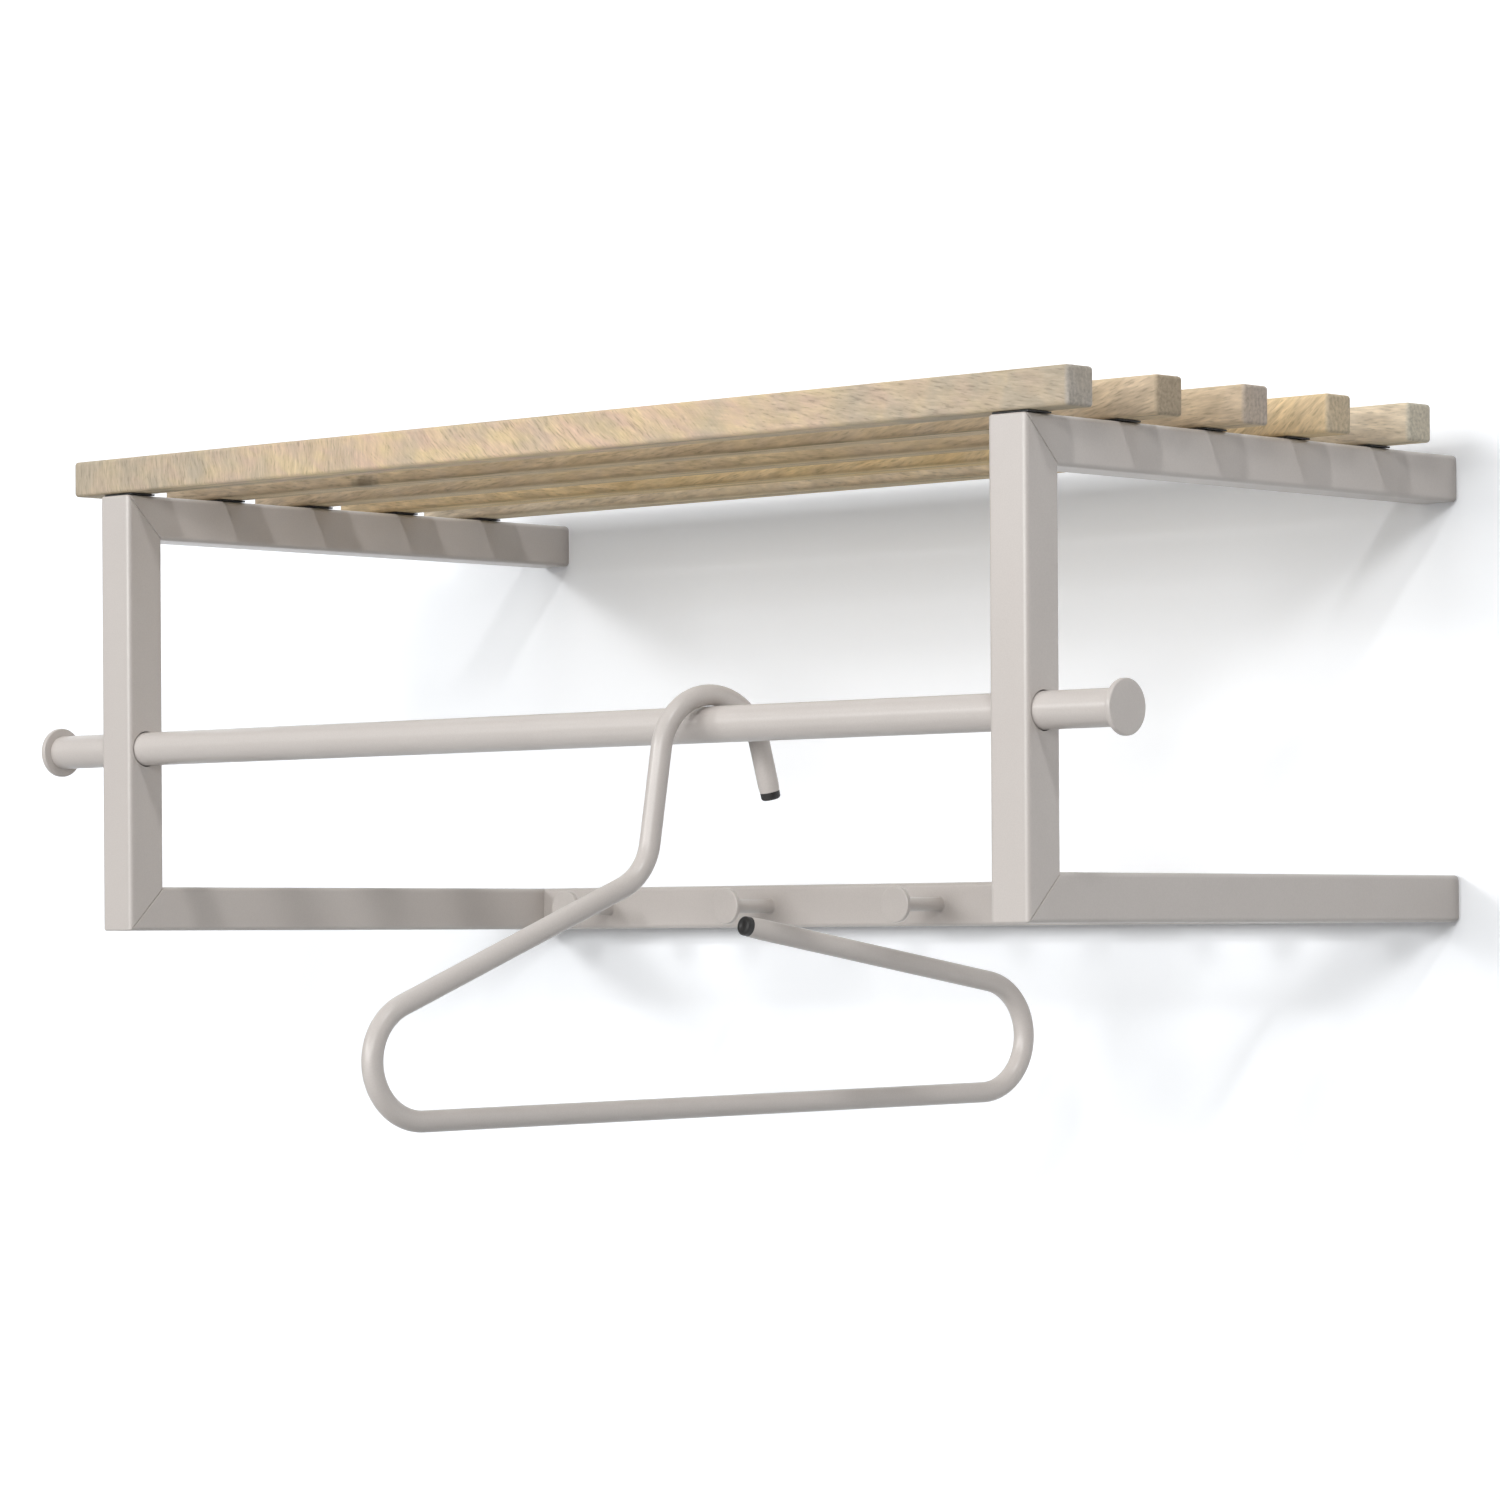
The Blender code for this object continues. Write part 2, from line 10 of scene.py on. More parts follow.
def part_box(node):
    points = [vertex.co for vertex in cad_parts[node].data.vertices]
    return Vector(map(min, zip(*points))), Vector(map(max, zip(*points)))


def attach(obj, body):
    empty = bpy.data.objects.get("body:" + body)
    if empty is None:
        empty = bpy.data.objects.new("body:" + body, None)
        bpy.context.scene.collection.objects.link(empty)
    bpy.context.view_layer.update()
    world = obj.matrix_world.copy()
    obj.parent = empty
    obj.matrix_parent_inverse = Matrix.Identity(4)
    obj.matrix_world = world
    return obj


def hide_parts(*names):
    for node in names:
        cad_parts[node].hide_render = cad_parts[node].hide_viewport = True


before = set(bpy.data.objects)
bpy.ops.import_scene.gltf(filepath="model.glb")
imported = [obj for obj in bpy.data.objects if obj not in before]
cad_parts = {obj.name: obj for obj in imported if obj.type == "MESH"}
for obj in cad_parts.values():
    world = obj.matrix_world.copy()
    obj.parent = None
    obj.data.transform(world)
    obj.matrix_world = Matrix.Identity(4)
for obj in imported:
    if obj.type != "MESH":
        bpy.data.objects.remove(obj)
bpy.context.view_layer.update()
scene = bpy.context.scene
scene.view_settings.view_transform = "Standard"

# Side frames: each is an upright and two arms of 25 mm square steel tube with rounded edges, mitred
# and welded at the front corners. The welds are ground flush and painted over: a joint shows as a
# hair line on the side faces only. Holes are drilled for the coat rod, its lock screw and the pins.
SIDES = ("left", "right")
SLATS = range(1, 6)
TUBE_ROUNDING = 0.0025
TUBE_WALL = 0.0015
BORE_ROUNDING = 0.001
CORNER_ROUNDING = 0.0012   # ground outer edge of a welded corner
HAIR_LINE = 0.0008         # depth of the joint's groove on the side faces
WELD_GAP = 0.00002
SEAM = 0.00025             # how far a tube runs on into the CAD model's seam
ROD_HOLE = 0.0202
LOCK_HOLE = 0.0056
PIN_HOLE = 0.0056
DRILL_START = 0.01         # how far before a face a drill starts
ROD_DRILL = 0.06           # length of a drill
LOCK_DRILL = 0.03
PIN_START = 0.005
PIN_DRILL = 0.01
MERGE_DISTANCE = 0.000002
SHARP_EDGE = 35            # degrees


def colour(code):
    """Linear colour of an sRGB hex value."""
    srgb = np.array([int(code[i:i + 2], 16) for i in (0, 2, 4)]) / 255
    linear = np.where(srgb <= 0.04045, srgb / 12.92, ((srgb + 0.055) / 1.055) ** 2.4)
    return (*linear, 1)


def feed(made, inputs):
    """Gives a node its inputs: one that is a socket gets linked, any other value is set."""
    for key, value in inputs.items():
        if isinstance(value, bpy.types.NodeSocket):
            made.id_data.links.new(value, made.inputs[key])
        else:
            made.inputs[key].default_value = value


def add_node(tree, kind, inputs, output=None, **settings):
    """Adds a node with its settings and inputs. Returns the output of that name, or else the first
    one that the settings leave in use."""
    made = tree.nodes.new(kind)
    for key, value in settings.items():
        setattr(made, key, value)
    feed(made, inputs)
    return made.outputs[output] if output else next(end for end in made.outputs if end.enabled)


def new_material(name):
    """Material with nodes: itself, its shader, and the function that adds a node to it."""
    material = bpy.data.materials.new(name)
    material.use_nodes = True
    tree = material.node_tree
    return material, tree.nodes["Principled BSDF"], partial(add_node, tree)


# Satin polyester powder coat, sprayed and baked: a closed film with a fine orange peel of 1.5 mm, a
# little cloudy over 50 mm where it lies thicker, so that highlights are broad and soft. Specks of
# pigment are drawn 0.7 mm wide, coarser than they are, so that they show.
powder_coat, shader, put = new_material("satin_powder_coat")
place = put("ShaderNodeTexCoord", {}, "Object")
cloud = put("ShaderNodeTexNoise", {"Vector": place, "Scale": 1 / 0.05, "Detail": 3})
speck = put("ShaderNodeTexNoise", {"Vector": place, "Scale": 1 / 0.0007, "Detail": 1})
peel = put("ShaderNodeTexNoise", {"Vector": place, "Scale": 1 / 0.0015, "Detail": 2})
tint = put("ShaderNodeMix", {"Factor": cloud, "A": colour("D0CAC5"), "B": colour("C9C2BD")},
           data_type="RGBA")
shade = put("ShaderNodeMapRange", {"Value": speck, "From Min": 0.3, "From Max": 0.7,
                                   "To Min": 0.975, "To Max": 1.025})
coat = put("ShaderNodeVectorMath", {0: tint, 1: shade}, operation="MULTIPLY")
gloss = put("ShaderNodeMapRange", {"Value": cloud, "From Min": 0.3, "From Max": 0.7,
                                   "To Min": 0.29, "To Max": 0.35})
relief = put("ShaderNodeBump", {"Height": peel, "Strength": 0.25, "Distance": 0.00004})
feed(shader, {"Base Color": coat, "Roughness": gloss, "IOR": 1.5, "Normal": relief})
painted = powder_coat, "powder_coated_steel"


def middle_of(node):
    """Middle of a CAD node's box."""
    low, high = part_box(node)
    return [(a + b) / 2 for a, b in zip(low, high)]


def shade_mesh(mesh):
    """Smooth shading that breaks at sharp edges."""
    mesh.shade_smooth()
    mesh.set_sharp_from_angle(angle=math.radians(SHARP_EDGE))
    return mesh


def surface(name, points, close_rows=False):
    """Closed surface over a grid of points (rows, columns, xyz): quads join neighbours, each row
    runs round, and the last row meets the first if the rows close. Points that coincide merge, so
    a row may be a pole."""
    rows, columns = points.shape[:2]
    index = np.arange(rows * columns).reshape(rows, columns)
    index = np.concatenate([index, index[:, :1]], axis=1)
    if close_rows:
        index = np.concatenate([index, index[:1]])
    quads = np.stack([index[:-1, :-1], index[:-1, 1:], index[1:, 1:], index[1:, :-1]], axis=-1)
    mesh = bpy.data.meshes.new(name)
    mesh.from_pydata(points.reshape(-1, 3).tolist(), [], quads.reshape(-1, 4).tolist())
    bm = bmesh.new()
    bm.from_mesh(mesh)
    bmesh.ops.remove_doubles(bm, verts=bm.verts, dist=MERGE_DISTANCE)
    bmesh.ops.recalc_face_normals(bm, faces=bm.faces)
    bm.to_mesh(mesh)
    bm.free()
    return shade_mesh(mesh)


def add_piece(name, mesh, node, finish, body="rack"):
    """A piece that rides on a body and stands for a CAD node. Its finish is a material and the name
    of a slot, which is not used."""
    material, slot = finish
    mesh.materials.clear()
    mesh.materials.append(material)
    piece = bpy.data.objects.new(name, mesh)
    scene.collection.objects.link(piece)
    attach(piece, body)
    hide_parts(node)


def rounded_outline(half_x, half_y, radius, steps=8):
    """Rectangle with rounded corners about zero, as two arrays. Corner k is the quarter circle
    c + r e^(ia), turned by k right angles, with one point more on the flats before and after it."""
    lead = 0.0004
    angle = np.linspace(0, np.pi / 2, steps + 1)
    corner = radius * np.exp(1j * angle)
    corner = np.concatenate([[radius - 1j * lead], corner, [1j * radius - lead]])
    x, y = corner.real - radius, corner.imag - radius
    outline_x = np.concatenate([half_x + x, -half_x - y, -half_x - x, half_x + y])
    outline_y = np.concatenate([half_y + y, half_y + x, -half_y - y, -half_y - x])
    return outline_x, outline_y


def turned(name, profile, origin, axis, sides=48, ring=False):
    """Solid of revolution: origin + h axis + r (cos a p + sin a q) for each (r, h) of the profile,
    with p and q square to the axis. A profile runs from pole to pole, or round and back for a
    ring."""
    axis = np.array(axis, float)
    p = np.cross(axis, np.eye(3)[np.abs(axis).argmin()])
    p /= np.linalg.norm(p)
    q = np.cross(axis, p)
    angle = np.linspace(0, 2 * np.pi, sides, endpoint=False)[:, None]
    spoke = np.cos(angle) * p + np.sin(angle) * q
    radius, height = np.array(profile, float).T[:, :, None, None]
    return surface(name, np.array(origin) + height * axis + radius * spoke, close_rows=ring)


def drilled(mesh, *drills):
    """The mesh with a hole for each drill, which is a closed mesh."""
    blank = bpy.data.objects.new("blank", mesh)
    scene.collection.objects.link(blank)
    tools = [bpy.data.objects.new("drill", drill) for drill in drills]
    for tool in tools:
        scene.collection.objects.link(tool)
        hole = blank.modifiers.new("hole", "BOOLEAN")
        hole.operation = "DIFFERENCE"
        hole.solver = "EXACT"
        hole.object = tool
    graph = bpy.context.evaluated_depsgraph_get()
    result = bpy.data.meshes.new_from_object(blank.evaluated_get(graph))
    result.name = mesh.name
    for used in [blank, *tools]:
        bpy.data.objects.remove(used)
    return shade_mesh(result)


def drill(diameter, start, axis, length):
    """Round drill from a start point along an axis."""
    radius = diameter / 2
    return turned("drill", [(0, 0), (radius, 0), (radius, length), (0, length)], start, axis)


def mitre(depth):
    """Run and depth, from the outer corner, of a tube's lines at a mitred end. A line at depth d
    turns the ground corner on a circle of R - d up to the mitre: s = R - (R - d) sin a and
    d' = R - (R - d) cos a, with a from 45 to 0 degrees. A line deeper than R runs straight to the
    plane s = d."""
    angle = np.radians(np.linspace(45, 0, 7))[:, None]
    back = np.linspace(0, 0.8, 7)[:, None] * CORNER_ROUNDING
    spare = CORNER_ROUNDING - depth
    turning = spare > 0
    run = np.where(turning, CORNER_ROUNDING - spare * np.sin(angle), depth + back)
    sunk = np.where(turning, CORNER_ROUNDING - spare * np.cos(angle), depth + 0 * angle)
    return run + WELD_GAP, sunk


def frame_tube(half, length, both_ends):
    """Square tube along s with mitred ends, as (rows, columns) arrays of s, depth and x. The
    outline is carried from the first mitre to the second, or to a square end, and back along the
    bore."""
    x, y = rounded_outline(half, half, TUBE_ROUNDING)
    bore_x, bore_y = rounded_outline(half - TUBE_WALL, half - TUBE_WALL, BORE_ROUNDING)
    depth, bore_depth = half - y, half - bore_y
    run, sunk = mitre(depth)
    groove = HAIR_LINE * np.array([1, 0.8, 0.4, 0.1, 0, 0, 0])[:, None]
    across = np.clip(x, groove - half, half - groove)
    if both_ends:
        far_run, far_sunk, far_x = length - run[::-1], sunk[::-1], across[::-1]
        far_bore = length - bore_depth
    else:
        far_run, far_sunk, far_x = np.full((1, len(x)), length), depth[None], x[None]
        far_bore = np.full(len(x), length)
    along = np.concatenate([run, far_run, far_bore[None], bore_depth[None]])
    into = np.concatenate([sunk, far_sunk, bore_depth[None], bore_depth[None]])
    aside = np.concatenate([across, far_x, bore_x[None], bore_x[None]])
    return along, into, aside


for side in SIDES:
    low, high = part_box(side + "_upright")
    front, half = low.y, (high.x - low.x) / 2
    middle = low.x + half
    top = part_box(side + "_top_arm")[1].z
    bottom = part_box(side + "_bottom_arm")[0].z
    wall_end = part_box(side + "_top_arm")[1].y
    rod_height = middle_of("coat_rod")[2]
    along, into, aside = frame_tube(half, top - bottom, True)
    points = np.stack([middle + aside, front + into, bottom + along], -1)
    upright = drilled(
        surface(side + "_upright", points, True),
        drill(ROD_HOLE, (low.x - DRILL_START, front + half, rod_height), (1, 0, 0), ROD_DRILL),
        drill(LOCK_HOLE, (middle, front + half, rod_height), (0, 1, 0), LOCK_DRILL))
    add_piece(side + "_upright_tube", upright, side + "_upright", painted)

    along, into, aside = frame_tube(half, wall_end + SEAM - front, False)
    points = np.stack([middle + aside, front + along, top - into], -1)
    pin_drills = [drill(PIN_HOLE, (middle, middle_of(f"slat_{row}")[1], top - PIN_START),
                        (0, 0, 1), PIN_DRILL) for row in SLATS]
    arm = drilled(surface(side + "_top_arm", points, True), *pin_drills)
    add_piece(side + "_top_arm_tube", arm, side + "_top_arm", painted)
    points = np.stack([middle + aside, front + along, bottom + into], -1)
    arm = surface(side + "_bottom_arm", points, True)
    add_piece(side + "_bottom_arm_tube", arm, side + "_bottom_arm", painted)

# Wall plates: the closed ends of the four arms, cut from 5 mm steel plate, welded into line with
# the tube, rounded at the wall and painted with the frame. A keyhole in each hangs on a wall screw.
PLATE_ROUNDING = 0.003
PLATE_SHARPEST = 0.0002    # least radius of the plate's corners
KEYHOLE_HEAD = 0.0045      # radius that passes a screw's head
KEYHOLE_SLOT = 0.0023      # radius that holds its shank
KEYHOLE_DROP = 0.004       # middle of the head below the middle of the plate
KEYHOLE_RISE = 0.009       # middle of the head up to the slot's round end


def polar(x, y, angle):
    """Radius of an outline that is star shaped about zero, at the given angles: its sides are
    divided finely, and the radius is read between the bearings of the points."""
    whole = np.arange(len(x) + 1)
    part = np.linspace(0, len(x), 40 * len(x), endpoint=False)
    x, y = (np.interp(part, whole, np.append(edge, edge[0])) for edge in (x, y))
    bearing = np.arctan2(y, x)
    order = np.argsort(bearing)
    return np.interp(angle, bearing[order], np.hypot(x, y)[order], period=2 * np.pi)


def keyhole(angle):
    """Radius of a keyhole about the middle of its head: the larger of the head's circle and the
    slot, whose straight sides lie at r = w / |sin t| and whose round end lies at
    r = n cos t + sqrt(w^2 - n^2 sin^2 t), with t measured from the slot's direction."""
    off = np.abs(np.angle(np.exp(1j * (angle - np.pi / 2))))
    sine, cosine = np.sin(off), np.cos(off)
    inside = np.maximum(KEYHOLE_SLOT ** 2 - (KEYHOLE_RISE * sine) ** 2, 0)
    straight = KEYHOLE_SLOT / np.maximum(sine, 1e-6)
    end = KEYHOLE_RISE * cosine + np.sqrt(inside)
    slot = np.where(straight * cosine < KEYHOLE_RISE, straight, end)
    return np.maximum(KEYHOLE_HEAD, np.where(off < np.pi / 2, slot, 0))


def wall_plate(name, low, high):
    """Plate between the keyhole and a rounded square, as rows that run round: out over the front
    face, along the edge, over the quarter circle at the wall, in over the rear face and back
    through the keyhole. Points lie closer together on the keyhole's slot."""
    half = (high.x - low.x) / 2
    middle_x, middle_z = (low.x + high.x) / 2, (low.z + high.z) / 2
    coarse = np.linspace(-np.pi, np.pi, 96, endpoint=False)
    fine = np.pi / 2 + np.linspace(-0.6, 0.6, 41)
    angle = np.unique(np.concatenate([coarse, fine]).round(5))
    turn = np.linspace(0, np.pi / 2, 7)
    inset = np.concatenate([[0], PLATE_ROUNDING * (1 - np.cos(turn))])
    depth = np.concatenate([[low.y], high.y - PLATE_ROUNDING * (1 - np.sin(turn))])
    outer = []
    for shrink in inset:
        corner = max(TUBE_ROUNDING - shrink, PLATE_SHARPEST)
        x, z = rounded_outline(half - shrink, half - shrink, corner, 24)
        outer.append(polar(x, z + KEYHOLE_DROP, angle))
    radius = np.stack([*outer, keyhole(angle), keyhole(angle)])
    y = np.concatenate([depth, [high.y, low.y]])[:, None] + 0 * radius
    x = middle_x + radius * np.cos(angle)
    z = middle_z - KEYHOLE_DROP + radius * np.sin(angle)
    return surface(name, np.stack([x, y, z], -1), True)


for side in SIDES:
    for level in ("top", "bottom"):
        node = f"{side}_{level}_wall_plate"
        plate = wall_plate(node, *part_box(node))
        add_piece(f"{side}_{level}_wall_end", plate, node, painted)

# Back rail: a length of the same square tube between the bottom arms, flat on the wall, butt welded
# at its ends and painted with the frame. Its front wall is drilled for the spigots of the pegs.
PEGS = range(1, 6)
SPIGOT_HOLE = 0.0056
SPIGOT_DRILL = 0.02

low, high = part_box("back_rail")
half = (high.z - low.z) / 2
x, y = rounded_outline(half, half, TUBE_ROUNDING)
bore_x, bore_y = rounded_outline(half - TUBE_WALL, half - TUBE_WALL, BORE_ROUNDING)
start, end = low.x - SEAM, high.x + SEAM
rows = [(start, x, y), (end, x, y), (end, bore_x, bore_y), (start, bore_x, bore_y)]
points = np.stack([np.stack([at + 0 * across, low.y + half + across, low.z + half + up], -1)
                   for at, across, up in rows])
spigot_drills = [drill(SPIGOT_HOLE, (middle_of(f"peg_disc_{peg}")[0], low.y - DRILL_START,
                                     low.z + half), (0, 1, 0), SPIGOT_DRILL) for peg in PEGS]
rail = drilled(surface("back_rail", points, True), *spigot_drills)
add_piece("back_rail_tube", rail, "back_rail", painted)

# Coat pegs: a turned steel stem with a spigot in the rail and a disc welded on its front end, so
# that a coat's loop stays on. Weld and paint leave small fillets at both ends of the stem.
PEG_DISC_EDGE = 0.0007
PEG_FILLET = 0.0009
SPIGOT_RADIUS = 0.0025
SEAT_GAP = 0.00003         # between pieces that are welded or pressed together


def arc(centre, radius, start, end, steps):
    """Points c + r (cos a, sin a) from one angle to another in degrees, both included."""
    angle = np.radians(np.linspace(start, end, steps + 1))[:, None]
    return np.array(centre) + radius * np.concatenate([np.cos(angle), np.sin(angle)], axis=1)


def disc_profile(radius, thick, edge, steps, *rest):
    """Radius and height along a disc with rounded edges: from the middle of its outer face, over
    both edges to its inner face, and on to the points that are given."""
    flat = radius - 3 * edge
    return np.concatenate([[(0, thick), (flat, thick)],
                           arc((radius - edge, thick - edge), edge, 90, 0, steps),
                           arc((radius - edge, edge), edge, 0, -90, steps), [(flat, 0), *rest]])


rail_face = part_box("back_rail")[0].y
for peg in PEGS:
    low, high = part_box(f"peg_disc_{peg}")
    stem_low, stem_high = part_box(f"peg_stem_{peg}")
    x, z = (low.x + high.x) / 2, (low.z + high.z) / 2
    profile = disc_profile((high.x - low.x) / 2, high.y - low.y, PEG_DISC_EDGE, 5, (0, 0))
    disc = turned(f"peg_disc_{peg}", profile, (x, high.y, z), (0, -1, 0), 64)
    add_piece(f"peg_{peg}_front_disc", disc, f"peg_disc_{peg}", painted)

    long = rail_face - high.y
    wide = (stem_high.x - stem_low.x) / 2 + PEG_FILLET
    profile = np.concatenate([[(0, long - SEAT_GAP), (wide, long - SEAT_GAP)],
                              arc((wide, long - PEG_FILLET), PEG_FILLET, 90, 180, 5),
                              arc((wide, PEG_FILLET), PEG_FILLET, 180, 270, 5),
                              [(SPIGOT_RADIUS, SEAT_GAP), (SPIGOT_RADIUS, -TUBE_WALL),
                               (0, -TUBE_WALL)]])
    stem = turned(f"peg_stem_{peg}", profile, (x, rail_face, z), (0, -1, 0), 40)
    add_piece(f"peg_{peg}_turned_stem", stem, f"peg_stem_{peg}", painted)

# Coat rod: a 19 mm round steel tube, painted, through both uprights. A turned disc is pressed into
# each end and keeps hangers on it.
ROD_WALL = 0.0015
ROD_EASE = 0.0003
DISC_EDGE = 0.0009
DISC_SPIGOT_LENGTH = 0.012
DISC_SPIGOT_PLAY = 0.0002

low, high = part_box("coat_rod")
rod_y, rod_z = (low.y + high.y) / 2, (low.z + high.z) / 2
rod_radius, long = (high.z - low.z) / 2, high.x - low.x
bore = rod_radius - ROD_WALL
profile = [(rod_radius - ROD_EASE, 0), (rod_radius, ROD_EASE), (rod_radius, long - ROD_EASE),
           (rod_radius - ROD_EASE, long), (bore, long), (bore, 0)]
rod = turned("coat_rod", profile, (low.x, rod_y, rod_z), (1, 0, 0), 80, ring=True)
add_piece("coat_rod_tube", rod, "coat_rod", painted)
spigot = bore - DISC_SPIGOT_PLAY
for side, sign in zip(SIDES, (-1, 1)):
    disc_low, disc_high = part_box(side + "_rod_end_disc")
    face = max(abs(disc_low.x), abs(disc_high.x))
    thick = face - high.x - SEAT_GAP
    profile = disc_profile((disc_high.z - disc_low.z) / 2, thick, DISC_EDGE, 6, (spigot, 0),
                           (spigot, -DISC_SPIGOT_LENGTH), (0, -DISC_SPIGOT_LENGTH))
    disc = turned(side + "_disc", profile, (sign * (face - thick), rod_y, rod_z), (sign, 0, 0), 80)
    add_piece(side + "_rod_stop_disc", disc, side + "_rod_end_disc", painted)

# Lock screws: zinc plated set screws with a hexagon socket. One is driven in from behind each
# upright until it stands against the rod, and keeps it from turning.
SOCKET_FLAT = 0.00125      # half the width over the socket's flats
SOCKET_DEPTH = 0.002
SCREW_EASE = 0.0003

# Bright zinc, electroplated over cut steel: a bluish metal with a faint crystal grain, drawn 0.8 mm
# wide, coarser than it is, so that it shows.
zinc, shader, put = new_material("bright_zinc_plate")
place = put("ShaderNodeTexCoord", {}, "Object")
grain = put("ShaderNodeTexNoise", {"Vector": place, "Scale": 1 / 0.0008, "Detail": 2})
tint = put("ShaderNodeMix", {"Factor": grain, "A": colour("C9CCD1"), "B": colour("A9ADB3")},
           data_type="RGBA")
gloss = put("ShaderNodeMapRange", {"Value": grain, "To Min": 0.25, "To Max": 0.4})
feed(shader, {"Base Color": tint, "Roughness": gloss, "Metallic": 1})

angle = np.linspace(0, 2 * np.pi, 48, endpoint=False)
hexagon = SOCKET_FLAT / np.cos((angle + np.pi / 6) % (np.pi / 3) - np.pi / 6)
for side in SIDES:
    low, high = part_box(side + "_rod_lock_screw")
    radius = (high.x - low.x) / 2
    eased = radius - SCREW_EASE
    rings = [(0, high.y - SOCKET_DEPTH), (hexagon, high.y - SOCKET_DEPTH), (hexagon, high.y),
             (eased, high.y), (radius, high.y - SCREW_EASE), (radius, low.y + SCREW_EASE),
             (eased, low.y), (0, low.y)]
    points = np.stack([np.stack([(low.x + high.x) / 2 + r * np.cos(angle), at + 0 * angle,
                                 (low.z + high.z) / 2 + r * np.sin(angle)], -1) for r, at in rings])
    screw = surface(side + "_lock_screw", points)
    add_piece(side + "_rod_set_screw", screw, side + "_rod_lock_screw", (zinc, "zinc_plated_steel"))

# Spacers and pins: a thin black plastic pad lies between each slat and arm, and a zinc plated steel
# pin goes through it from the arm's top wall into a blind hole of the slat, glued. The pads' black
# is partly painted shade: it also stands in for the contact shadow in the joint of slat and arm.
PAD_ROUNDING = 0.001
PAD_EASE = 0.0001

# Black polyamide, injection moulded and matt: nearly black, with a fine spark-eroded grain, drawn
# 0.4 mm wide, coarser than it is, so that it shows.
black_plastic, shader, put = new_material("moulded_black_polyamide")
place = put("ShaderNodeTexCoord", {}, "Object")
grain = put("ShaderNodeTexNoise", {"Vector": place, "Scale": 1 / 0.0004, "Detail": 2})
tint = put("ShaderNodeMix", {"Factor": grain, "A": colour("131211"), "B": colour("1B1918")},
           data_type="RGBA")
gloss = put("ShaderNodeMapRange", {"Value": grain, "To Min": 0.38, "To Max": 0.55})
relief = put("ShaderNodeBump", {"Height": grain, "Strength": 0.3, "Distance": 0.00005})
feed(shader, {"Base Color": tint, "Roughness": gloss, "IOR": 1.53, "Normal": relief})
moulded = black_plastic, "black_plastic"


def pad_surface(name, low, high):
    """Rounded rectangle as rows that run round: from a pole in the bottom face out over the eased
    edge, up the side and in over the top face to its pole. Each row is the outline drawn in by its
    share."""
    half_x, half_y = (high.x - low.x) / 2, (high.y - low.y) / 2
    x, y = rounded_outline(half_x, half_y, PAD_ROUNDING)
    inward = 1 - PAD_EASE / half_y
    share = np.array([0, inward, 1, 1, inward, 0])[:, None]
    heights = [low.z, low.z, low.z + PAD_EASE, high.z - PAD_EASE, high.z, high.z]
    z = np.array(heights)[:, None] + 0 * x
    return surface(name, np.stack([low.x + half_x + share * x, low.y + half_y + share * y, z], -1))


for side in SIDES:
    for row in SLATS:
        node = f"{side}_slat_spacer_{row}"
        low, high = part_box(node)
        x, y, _ = middle_of(node)
        hole = drill(PIN_HOLE, (x, y, low.z - PIN_START), (0, 0, 1), PIN_DRILL)
        pad = drilled(pad_surface(node, low, high), hole)
        # The pad's black is partly painted shade: it stands in for the contact shadow between slat
        # and arm
        add_piece(f"{side}_slat_pad_and_shade_{row}", pad, node, moulded)
        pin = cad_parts[f"{side}_slat_pin_{row}"]
        pin.data.materials.clear()
        pin.data.materials.append(zinc)

# Slats: five planed oak battens of 20 by 20 mm with rounded edges and ends, limed and oiled matt.
# They lie across the top arms, and each is cut from another board, so grain and tone differ.
SLAT_ROUNDING = 0.002
SLAT_END_RING = 0.0008     # from the end's rounding to the first ring of its flat face
END_GRAIN_START = 0.0024   # from the slat's end to where end grain begins to show
END_GRAIN_FULL = 0.0004
PIN_HOLE_DEPTH = 0.013


def streaks(put, place, lean, width, length, detail):
    """Noise drawn out to streaks of a width and length in metres. They lean down from the slat's
    length, to the right, by an angle in degrees."""
    drawn = put("ShaderNodeMapping", {"Vector": place, "Rotation": (0, math.radians(lean), 0),
                                      "Scale": (length, width, width)}, vector_type="TEXTURE")
    return put("ShaderNodeTexNoise", {"Vector": drawn, "Scale": 1, "Detail": detail})


